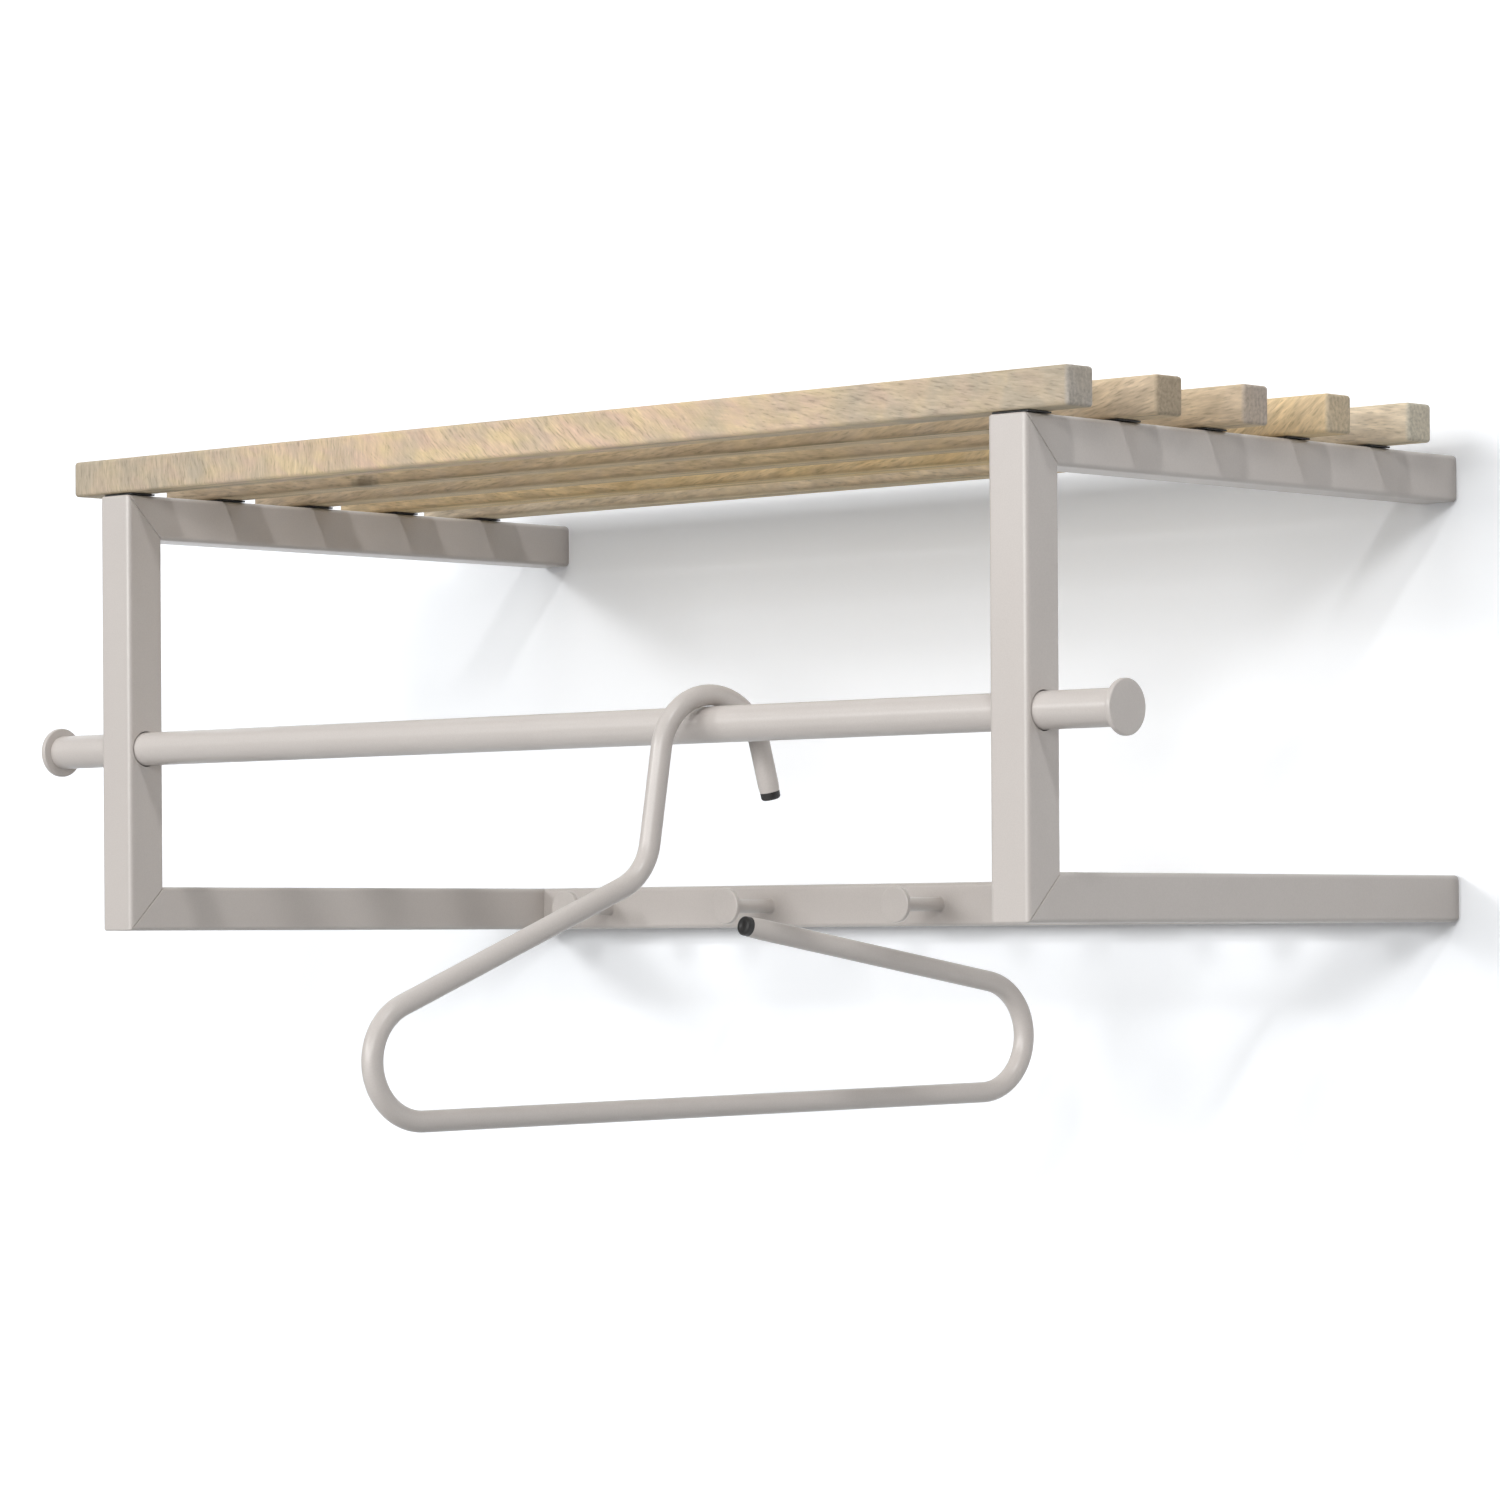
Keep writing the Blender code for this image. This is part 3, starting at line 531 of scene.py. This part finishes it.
def limed_oak(name, middle, half_length, leans, figure, yellow, rose, grey, line, end_tone, knot):
    """Oak batten cut so that front and back show ray flecks, which lean differently at its left,
    middle and right, and top and bottom show long grain. Figure is the strength of the flecks.
    Colours: warm wood, rosy wood, bloom of lime, dark grain, end."""
    material, shader, put = new_material(name)
    place = put("ShaderNodeTexCoord", {}, "Object")
    local = put("ShaderNodeVectorMath", {0: place, 1: (0, *middle)}, operation="SUBTRACT")
    # Grain wanders by about 2 mm along and 1 mm across, in waves 100 mm long and 30 mm wide
    shift = put("ShaderNodeVectorMath", {0: place, 1: (0.3, 1, 1)}, operation="MULTIPLY")
    drift = put("ShaderNodeTexNoise", {"Vector": shift, "Scale": 1 / 0.03, "Detail": 4}, "Color")
    bend = put("ShaderNodeVectorMath", {0: drift, 1: (0.012, 0.006, 0.006), 2: place},
               operation="MULTIPLY_ADD")
    # Front and back are told from top and bottom by the larger distance from the slat's middle
    # line, and pass into them over 2.4 mm at the edges
    axes = put("ShaderNodeSeparateXYZ", {"Vector": local}).node.outputs
    reach, deep, tall = (put("ShaderNodeMath", {0: axes[axis]}, operation="ABSOLUTE")
                         for axis in ("X", "Y", "Z"))
    lead = put("ShaderNodeMath", {0: deep, 1: tall}, operation="SUBTRACT")
    front = put("ShaderNodeMapRange", {"Value": lead, "From Min": -0.0012, "From Max": 0.0012})

    # Ray flecks 3 mm wide and 16 mm long, fine ones of 1 by 7 mm, changing from left to right
    left = put("ShaderNodeMapRange", {"Value": axes["X"], "From Min": -0.16, "From Max": -0.06,
                                      "To Min": 1, "To Max": 0})
    right = put("ShaderNodeMapRange", {"Value": axes["X"], "From Min": 0.08, "From Max": 0.2})
    flecks = []
    for width, length in ((0.003, 0.016), (0.001, 0.007)):
        three = [streaks(put, bend, lean, width, length, 2) for lean in leans]
        inner = put("ShaderNodeMix", {"Factor": left, "A": three[1], "B": three[0]})
        flecks.append(put("ShaderNodeMix", {"Factor": right, "A": inner, "B": three[2]}))
    ray, hair = flecks
    # Patches of tone 26 mm long and 9 mm wide, clouds of lime 25 mm wide, and greyer wood towards
    # the ends
    patch = streaks(put, bend, leans[1] / 2, 0.009, 0.026, 2)
    rosy = put("ShaderNodeMapRange", {"Value": patch, "From Min": 0.36, "From Max": 0.64})
    warm = put("ShaderNodeMix", {"Factor": rosy, "A": colour(yellow), "B": colour(rose)},
               data_type="RGBA")
    bloom = put("ShaderNodeTexNoise", {"Vector": bend, "Scale": 1 / 0.025, "Detail": 4})
    cloud = put("ShaderNodeMapRange", {"Value": bloom, "From Min": 0.44, "From Max": 0.68,
                                       "To Max": 0.6})
    outer = put("ShaderNodeMapRange", {"Value": reach, "From Min": 0.11, "From Max": 0.36,
                                       "To Max": 0.8})
    lime = put("ShaderNodeMath", {0: cloud, 1: outer}, operation="ADD")
    limed = put("ShaderNodeMix", {"Factor": lime, "A": warm, "B": colour(grey)}, data_type="RGBA")
    flecked = put("ShaderNodeMapRange", {"Value": ray, "From Min": 0.34, "From Max": 0.66,
                                         "To Min": 1 - figure, "To Max": 1 + figure})
    face = put("ShaderNodeVectorMath", {0: limed, 1: flecked}, operation="MULTIPLY")
    # Long grain 2 mm wide and 250 mm long. Top and bottom are painted lighter than front and back:
    # painted light, standing in for light bounced up from below onto the undersides
    grain = streaks(put, bend, 0, 0.002, 0.25, 4)
    dark = put("ShaderNodeMapRange", {"Value": grain, "From Min": 0.52, "From Max": 0.68,
                                      "To Max": 0.8})
    pale = put("ShaderNodeVectorMath", {0: limed, 1: (1.15, 1.17, 1.12)}, operation="MULTIPLY")
    flat = put("ShaderNodeMix", {"Factor": dark, "A": pale, "B": colour(line)}, data_type="RGBA")
    wood = put("ShaderNodeMix", {"Factor": front, "A": flat, "B": face}, data_type="RGBA")
    # Fibres 0.6 mm wide and 25 mm long, and pores 6 mm long, drawn 0.5 mm wide, twice their real
    # width, so that they show
    fibre = streaks(put, bend, 0, 0.0006, 0.025, 2)
    strand = put("ShaderNodeMapRange", {"Value": fibre, "From Min": 0.3, "From Max": 0.7,
                                        "To Min": 0.94, "To Max": 1.06})
    pore = streaks(put, bend, 0, 0.0005, 0.006, 1)
    pit = put("ShaderNodeMapRange", {"Value": pore, "From Min": 0.28, "From Max": 0.38,
                                     "To Min": 0.75})
    long_tone = put("ShaderNodeMath", {0: strand, 1: pit}, operation="MULTIPLY")
    # Fine flecks on front and back: dark pits and pale rays
    sunk = put("ShaderNodeMapRange", {"Value": hair, "From Min": 0.3, "From Max": 0.43,
                                      "To Min": 0.74})
    bright = put("ShaderNodeMapRange", {"Value": hair, "From Min": 0.5, "From Max": 0.7,
                                        "To Min": 1, "To Max": 1.13})
    ray_tone = put("ShaderNodeMath", {0: sunk, 1: bright}, operation="MULTIPLY")
    tone = put("ShaderNodeMix", {"Factor": front, "A": long_tone, "B": ray_tone})
    if knot:
        # Knot: a dark eye 24 mm long in the slat's lower front edge, with a ragged rim of 4 mm
        eye = put("ShaderNodeMapping", {"Vector": local, "Location": knot,
                                        "Scale": (0.012, 0.009, 0.006)}, vector_type="TEXTURE")
        off = put("ShaderNodeVectorMath", {0: eye}, operation="LENGTH")
        ragged = put("ShaderNodeTexNoise", {"Vector": place, "Scale": 1 / 0.004, "Detail": 3})
        off = put("ShaderNodeMath", {0: ragged, 1: 0.9, 2: off}, operation="MULTIPLY_ADD")
        stain = put("ShaderNodeMapRange", {"Value": off, "From Min": 0.75, "From Max": 1.6,
                                           "To Min": 0.5})
        tone = put("ShaderNodeMath", {0: tone, 1: stain}, operation="MULTIPLY")
    side_wood = put("ShaderNodeVectorMath", {0: wood, 1: tone}, operation="MULTIPLY")
    # End grain: year rings of 3 mm in arcs, open pores and patches of 0.5 to 2 mm. A wave of
    # scale 1 repeats every 0.314 m
    end = put("ShaderNodeMapRange", {"Value": reach, "From Min": half_length - END_GRAIN_START,
                                     "From Max": half_length - END_GRAIN_FULL})
    log = put("ShaderNodeMapping", {"Vector": bend, "Location": (0, 0.02, -0.03 - middle[1])})
    ring = put("ShaderNodeTexWave", {"Vector": log, "Scale": 0.314 / 0.003, "Distortion": 1.5,
                                     "Detail": 2}, "Fac", wave_type="RINGS", rings_direction="X")
    ringed = put("ShaderNodeMapRange", {"Value": ring, "To Min": 0.95, "To Max": 1.02})
    dots = put("ShaderNodeTexNoise", {"Vector": bend, "Scale": 1 / 0.0018, "Detail": 3})
    dotted = put("ShaderNodeMapRange", {"Value": dots, "From Min": 0.32, "From Max": 0.62,
                                        "To Min": 0.78, "To Max": 1.06})
    cut = put("ShaderNodeMath", {0: ringed, 1: dotted}, operation="MULTIPLY")
    sealed = put("ShaderNodeMapRange", {"Value": bloom, "From Min": 0.35, "From Max": 0.65,
                                        "To Min": 0.95, "To Max": 0.6})
    end_body = put("ShaderNodeMix", {"Factor": sealed, "A": limed, "B": colour(end_tone)},
                   data_type="RGBA")
    end_wood = put("ShaderNodeVectorMath", {0: end_body, 1: cut}, operation="MULTIPLY")
    base = put("ShaderNodeMix", {"Factor": end, "A": side_wood, "B": end_wood}, data_type="RGBA")
    gloss = put("ShaderNodeMapRange", {"Value": fibre, "From Min": 0.3, "From Max": 0.7,
                                       "To Min": 0.75, "To Max": 0.6})
    relief = put("ShaderNodeBump", {"Height": tone, "Strength": 0.35, "Distance": 0.0002})
    feed(shader, {"Base Color": base, "Roughness": gloss, "IOR": 1.4, "Normal": relief})
    return material


def slat_surface(name, low, high):
    """Rounded rectangle carried along the slat. At each end the outline draws in by r (1 - sin a)
    while it runs out by r (1 - cos a), then closes in a flat face with a pole."""
    half_y, half_z = (high.y - low.y) / 2, (high.z - low.z) / 2
    angle = np.radians(np.linspace(0, 90, 7))
    inset = SLAT_ROUNDING * (1 - np.sin(angle))
    rows = [(low.x, half_y), (low.x, SLAT_ROUNDING + SLAT_END_RING)]
    rows += list(zip(low.x + SLAT_ROUNDING * (1 - np.cos(angle)), inset))
    rows += [(high.x - (at - low.x), shrink) for at, shrink in rows[::-1]]
    points = []
    for at, shrink in rows:
        corner = max(SLAT_ROUNDING - shrink, 0)
        y, z = rounded_outline(half_y - shrink, half_z - shrink, corner)
        y, z = (y, z) if shrink < half_y else (0 * y, 0 * z)
        points.append(np.stack([at + 0 * y, low.y + half_y + y, low.z + half_z + z], -1))
    return surface(name, np.stack(points))


KNOT = (-0.2015, -0.009, -0.009)   # from the slat's middle
# For each slat: leans of its rays in degrees, strength of its figure, its colours and its knot
BOARDS = {1: ((86, 42, 10), 0.085, "DAC49C", "D4B8A1", "B6A995", "8A7858", "BCB6AE", None),
          2: ((4, -6, -14), 0.15, "D3BB95", "C7B08E", "CFBBA0", "806E4C", "A89983", KNOT),
          3: ((-8, 5, -4), 0.15, "D4BD96", "C9B290", "CDB99E", "82704C", "B7ACA3", None),
          4: ((6, -12, -36), 0.16, "E2C897", "D7BB8B", "DAC29C", "8B734D", "C2B59F", None),
          5: ((-5, 8, 5), 0.14, "DECBAB", "D7C2A4", "D8C9B2", "8D7D5D", "C6C1B1", None)}
for row in SLATS:
    low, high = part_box(f"slat_{row}")
    middle = middle_of(f"slat_{row}")[1:]
    pins = [middle_of(f"{side}_slat_pin_{row}")[0] for side in SIDES]
    holes = [drill(PIN_HOLE, (at, middle[0], low.z - PIN_START), (0, 0, 1),
                   PIN_START + PIN_HOLE_DEPTH) for at in pins]
    batten = drilled(slat_surface(f"slat_{row}", low, high), *holes)
    oak = limed_oak(f"limed_oak_board_{row}", middle, high.x, *BOARDS[row])
    add_piece(f"oak_slat_{row}", batten, f"slat_{row}", (oak, "limed_oak"))

# Hanger: one 11 mm steel tube, bent cold to a hook, a neck, two shoulders and a bar and painted
# like the frame. Its rear shoulder ends free, and it hangs over the rod.
HANGER_RADIUS = 0.0055
HANGER_WALL = 0.0012
HANGER_EASE = 0.0003       # taken off the edges of the tube's ends
HANGER_REACH = 0.1835      # middle of the bar to the middle of either bend
BAR_OFFSET = 0.0023        # middle of the bar in front of the middle of the hook
HANGER_DROP = 0.1966       # rod axis to the middle of the bar
BEND_RADIUS = 0.030
HOOK_RADIUS = 0.033
HOOK_REST = 0.0003         # gap between hook and rod
TAIL_LENGTH = 0.0257
TAIL_LEAN = 14             # leans, slopes and turn in degrees
NECK_LEAN = 10
FRONT_SLOPE = 22
REAR_SLOPE = 11.2
FREE_END_OFFSET = 0.0225   # free end behind the middle of the hook
HANGER_PLACE = 0.1228      # hook to the right of the middle of the rack
HANGER_TURN = 8
HANGER_LEAN = 1


def heading(degrees):
    """Unit vector in the hanger's plane at an angle from the direction to the wall."""
    return np.array([math.cos(math.radians(degrees)), math.sin(math.radians(degrees))])


def straight(start, end, steps):
    """Points between two points, without the ends."""
    part = np.linspace(0, 1, steps + 2)[1:-1, None]
    return start + part * (end - start)


def hanger_line(rod_radius):
    """Centre line in the hanger's plane about the rod's axis: tail, hook, neck, front bend, bar,
    rear bend, rear shoulder. The neck's bend touches the lines of neck and shoulder, so it starts
    R tan(t / 2) before they cross."""
    hook_middle = 0, rod_radius + HOOK_REST + HANGER_RADIUS - HOOK_RADIUS
    hook = arc(hook_middle, HOOK_RADIUS, TAIL_LEAN, 180 - NECK_LEAN, 64)
    tail = hook[0] + TAIL_LENGTH * heading(TAIL_LEAN - 90)
    low = BEND_RADIUS - HANGER_DROP
    front = arc((-BAR_OFFSET - HANGER_REACH, low), BEND_RADIUS, 90 + FRONT_SLOPE, 270, 60)
    rear = arc((-BAR_OFFSET + HANGER_REACH, low), BEND_RADIUS, -90, 90 - REAR_SLOPE, 60)
    neck_run, shoulder_run = heading(270 - NECK_LEAN), heading(180 + FRONT_SLOPE)
    gap = front[0] - hook[-1]
    cross = neck_run[0] * shoulder_run[1] - neck_run[1] * shoulder_run[0]
    to_corner = (gap[0] * shoulder_run[1] - gap[1] * shoulder_run[0]) / cross
    turn = 90 - NECK_LEAN - FRONT_SLOPE
    to_bend = to_corner - BEND_RADIUS * math.tan(math.radians(turn / 2))
    neck_start = hook[-1] + neck_run * to_bend
    centre = neck_start + BEND_RADIUS * np.array([neck_run[1], -neck_run[0]])
    neck = arc(centre, BEND_RADIUS, -NECK_LEAN, -NECK_LEAN - turn, 24)
    rear_length = (rear[-1][0] - FREE_END_OFFSET) / math.cos(math.radians(REAR_SLOPE))
    free_end = rear[-1] + rear_length * heading(180 - REAR_SLOPE)
    return np.concatenate([tail[None], straight(tail, hook[0], 6), hook,
                           straight(hook[-1], neck[0], 12), neck,
                           straight(neck[-1], front[0], 20), front,
                           straight(front[-1], rear[0], 40), rear,
                           straight(rear[-1], free_end, 20), free_end[None]])


def bent_tube(name, line, seat):
    """Circle carried along a flat line: c + r (cos a n + sin a b), with n square to the line in its
    plane and b square to the plane, out along the outside and back along the bore."""
    ahead = np.gradient(line, axis=0)
    ahead /= np.linalg.norm(ahead, axis=1)[:, None]
    normal = np.stack([-ahead[:, 1], ahead[:, 0]], -1)
    angle = np.linspace(0, 2 * np.pi, 36, endpoint=False)
    outside = np.full(len(line), HANGER_RADIUS)
    outside[[0, -1]] -= HANGER_EASE
    size = np.concatenate([outside, np.full(len(line), HANGER_RADIUS - HANGER_WALL)])[:, None, None]
    centre = np.concatenate([line, line[::-1]])[:, None]
    outward = np.concatenate([normal, normal[::-1]])[:, None]
    cosine, sine = np.cos(angle)[None, :, None], np.sin(angle)[None, :, None]
    local = np.concatenate([size * sine, centre + size * cosine * outward], axis=-1)
    return surface(name, local @ np.array(seat.to_3x3()).T + np.array(seat.translation), True)


seat = Matrix.Translation((HANGER_PLACE, rod_y, rod_z))
lean = Euler((math.radians(HANGER_LEAN), 0, math.radians(-HANGER_TURN)))
seat = seat @ lean.to_matrix().to_4x4()
line = hanger_line(rod_radius)
tube = bent_tube("hanger_tube", line, seat)
add_piece("hanger_bent_tube", tube, "hanger_tube", painted, "hanger")

# End plugs: two moulded black plastic caps with a domed edge, a shallow dish and a plain spigot,
# pressed into the open ends of the hanger's tube.
PLUG_RADIUS = 0.0051
PLUG_HEAD = 0.0042
PLUG_DOME = 0.0016
PLUG_DISH = 0.0003         # depth of the dish that the moulding leaves
DISH_FLOOR = 0.0016        # radii of the dish
DISH_RIM = 0.0022
PLUG_SPIGOT = 0.0039
PLUG_LENGTH = 0.009
PLUG_GAP = 0.00005         # between the plug's head and the tube

dish = PLUG_HEAD - PLUG_DISH
dome = arc((PLUG_RADIUS - PLUG_DOME, PLUG_HEAD - PLUG_DOME), PLUG_DOME, 80, 0, 8)
profile = np.concatenate([[(0, dish), (DISH_FLOOR, dish), (DISH_RIM, PLUG_HEAD)], dome,
                          [(PLUG_RADIUS, PLUG_GAP), (PLUG_SPIGOT, PLUG_GAP),
                           (PLUG_SPIGOT, -PLUG_LENGTH), (0, -PLUG_LENGTH)]])
for name, node, end, before in (("hook_tail_plug", "hook_end_plug", line[0], line[1]),
                                ("shoulder_plug", "shoulder_end_plug", line[-1], line[-2])):
    tip, inner_point = (seat @ Vector((0, *point)) for point in (end, before))
    plug = turned(name, profile, tip, (tip - inner_point).normalized(), 48)
    add_piece(name, plug, node, moulded, "hanger")

# Stage: a white wall behind the rack and a pale floor below it. Both show from the front only, so
# that the rack can be looked at from behind and from below, and the wall lets light in to what
# lies flat on it.
WALL_GAP = 0.0005
FLOOR_HEIGHT = -1.3
STAGE_SIZE = 5
SCATTER_REACH = 0.012      # the wall is clear to scattered light on what is this near
LAMP_REACH = 0.0015        # and to a lamp's light on what is this near
WALL_WHITE = (1.108, 1.135, 1.168, 1)   # above 1, since the lamps leave the wall short of white
WALL_GLOW = 0.02           # glow that is seen but lights nothing
FLOOR_GLOW = 0.15


def stage_plane(name, corners, tone, bounce, glow):
    """Flat backdrop, white to the eye and clear from behind. To other surfaces it has the tone of
    its bounce, and it is clear to light that reaches it from very near."""
    mesh = bpy.data.meshes.new(name)
    mesh.from_pydata(corners, [], [(0, 1, 2, 3)])
    material, shader, put = new_material(name + "_paint")
    path = put("ShaderNodeLightPath", {}).node.outputs
    seen = path["Is Camera Ray"]
    for kind in ("Is Glossy Ray", "Is Transmission Ray"):
        seen = put("ShaderNodeMath", {0: seen, 1: path[kind]}, operation="MAXIMUM")
    paint = put("ShaderNodeMix", {"Factor": seen, "A": bounce, "B": tone}, data_type="RGBA")
    shine = put("ShaderNodeMath", {0: seen, 1: glow}, operation="MULTIPLY")
    feed(shader, {"Base Color": paint, "Roughness": 0.9, "Specular IOR Level": 0,
                  "Emission Color": (1, 1, 1, 1), "Emission Strength": shine})
    clear = put("ShaderNodeNewGeometry", {}, "Backfacing")
    for kind, reach in (("Is Diffuse Ray", SCATTER_REACH), ("Is Shadow Ray", LAMP_REACH)):
        near = put("ShaderNodeMath", {0: path["Ray Length"], 1: reach}, operation="LESS_THAN")
        near = put("ShaderNodeMath", {0: near, 1: path[kind]}, operation="MULTIPLY")
        clear = put("ShaderNodeMath", {0: clear, 1: near}, operation="MAXIMUM")
    gone = put("ShaderNodeBsdfTransparent", {})
    mix = put("ShaderNodeMixShader", {0: clear, 1: shader.outputs["BSDF"], 2: gone})
    feed(material.node_tree.nodes["Material Output"], {"Surface": mix})
    mesh.materials.append(material)
    plane = bpy.data.objects.new(name, mesh)
    scene.collection.objects.link(plane)


wide, floor = STAGE_SIZE, FLOOR_HEIGHT
stage_plane("white_wall", [(-wide, WALL_GAP, floor), (wide, WALL_GAP, floor),
                           (wide, WALL_GAP, wide), (-wide, WALL_GAP, wide)],
            WALL_WHITE, colour("C8C8C8"), WALL_GLOW)
stage_plane("pale_floor", [(-wide, -2 * wide, floor), (wide, -2 * wide, floor),
                           (wide, WALL_GAP, floor), (-wide, WALL_GAP, floor)],
            colour("F4F4F4"), colour("9A9A9A"), FLOOR_GLOW)

# Light: a wide bank low at the front, a softbox on either side of it, one high on either side, a
# bank under the ceiling, one behind the wall for the rear faces, and an even white room. Together
# they light a face that looks to the front at about its written colour.
LAMP_DISTANCE = 12
ROOM = 0.09
# Direction from the rack, watts, width and height in metres
LAMPS = {"front_bank": ((0, -0.97, 0.15), 720, 8.7, 3.4),
         "left_softbox": ((-0.44, -0.71, 0.255), 255, 1.8, 1.8),
         "right_softbox": ((0.44, -0.71, 0.255), 270, 1.8, 1.8),
         "high_softbox": ((0.58, -0.37, 0.73), 270, 1, 1),
         "left_high_softbox": ((-0.66, -0.46, 0.59), 30, 2, 0.8),
         "ceiling_bank": ((0, -0.35, 0.94), 150, 4.8, 4.8),
         "rear_bank": ((0, 1, 0.05), 650, 4, 4)}

for name, (direction, power, width, height) in LAMPS.items():
    lamp = bpy.data.lights.new(name, "AREA")
    lamp.shape = "RECTANGLE"
    lamp.energy = power
    lamp.size = width
    lamp.size_y = height
    holder = bpy.data.objects.new(name, lamp)
    holder.visible_camera = False
    toward = Vector(direction).normalized()
    aim = toward.to_track_quat("Z", "Y").to_matrix().to_4x4()
    holder.matrix_world = Matrix.Translation(toward * LAMP_DISTANCE) @ aim
    scene.collection.objects.link(holder)

room = bpy.data.worlds.new("white_room")
scene.world = room
room.use_nodes = True
put = partial(add_node, room.node_tree)
path = put("ShaderNodeLightPath", {}).node.outputs
seen = put("ShaderNodeMath", {0: path["Is Camera Ray"], 1: path["Is Transmission Ray"]},
           operation="MAXIMUM")
strength = put("ShaderNodeMapRange", {"Value": seen, "To Min": ROOM})
feed(room.node_tree.nodes["Background"], {"Color": (1, 1, 1, 1), "Strength": strength})

# Camera: below the shelf and to the right of the rack, level, with the frame shifted upwards, as a
# view camera is set so that uprights stay parallel.
PHOTO = 1500               # frame in pixels
FOCAL = 5462.15            # focal length in pixels
PRINCIPAL = 747.18, 940.38  # point straight ahead of the camera, in pixels
TURN = math.radians(43.31)
ROLL = math.radians(-0.334)
CAMERA_PLACE = (2.06598, -2.37735, -0.02003)

camera = bpy.data.cameras.new("camera")
camera.sensor_width = 36
camera.lens = FOCAL * camera.sensor_width / PHOTO
camera.shift_x = (PHOTO / 2 - PRINCIPAL[0]) / PHOTO
camera.shift_y = (PRINCIPAL[1] - PHOTO / 2) / PHOTO
viewer = bpy.data.objects.new("camera", camera)
forward = Vector((-math.sin(TURN), math.cos(TURN), 0))
right = Vector((math.cos(TURN), math.sin(TURN), 0))
basis = Matrix((right, Vector((0, 0, 1)), -forward)).transposed().to_4x4()
viewer.matrix_world = Matrix.Translation(CAMERA_PLACE) @ basis @ Matrix.Rotation(ROLL, 4, "Z")
scene.collection.objects.link(viewer)
scene.camera = viewer
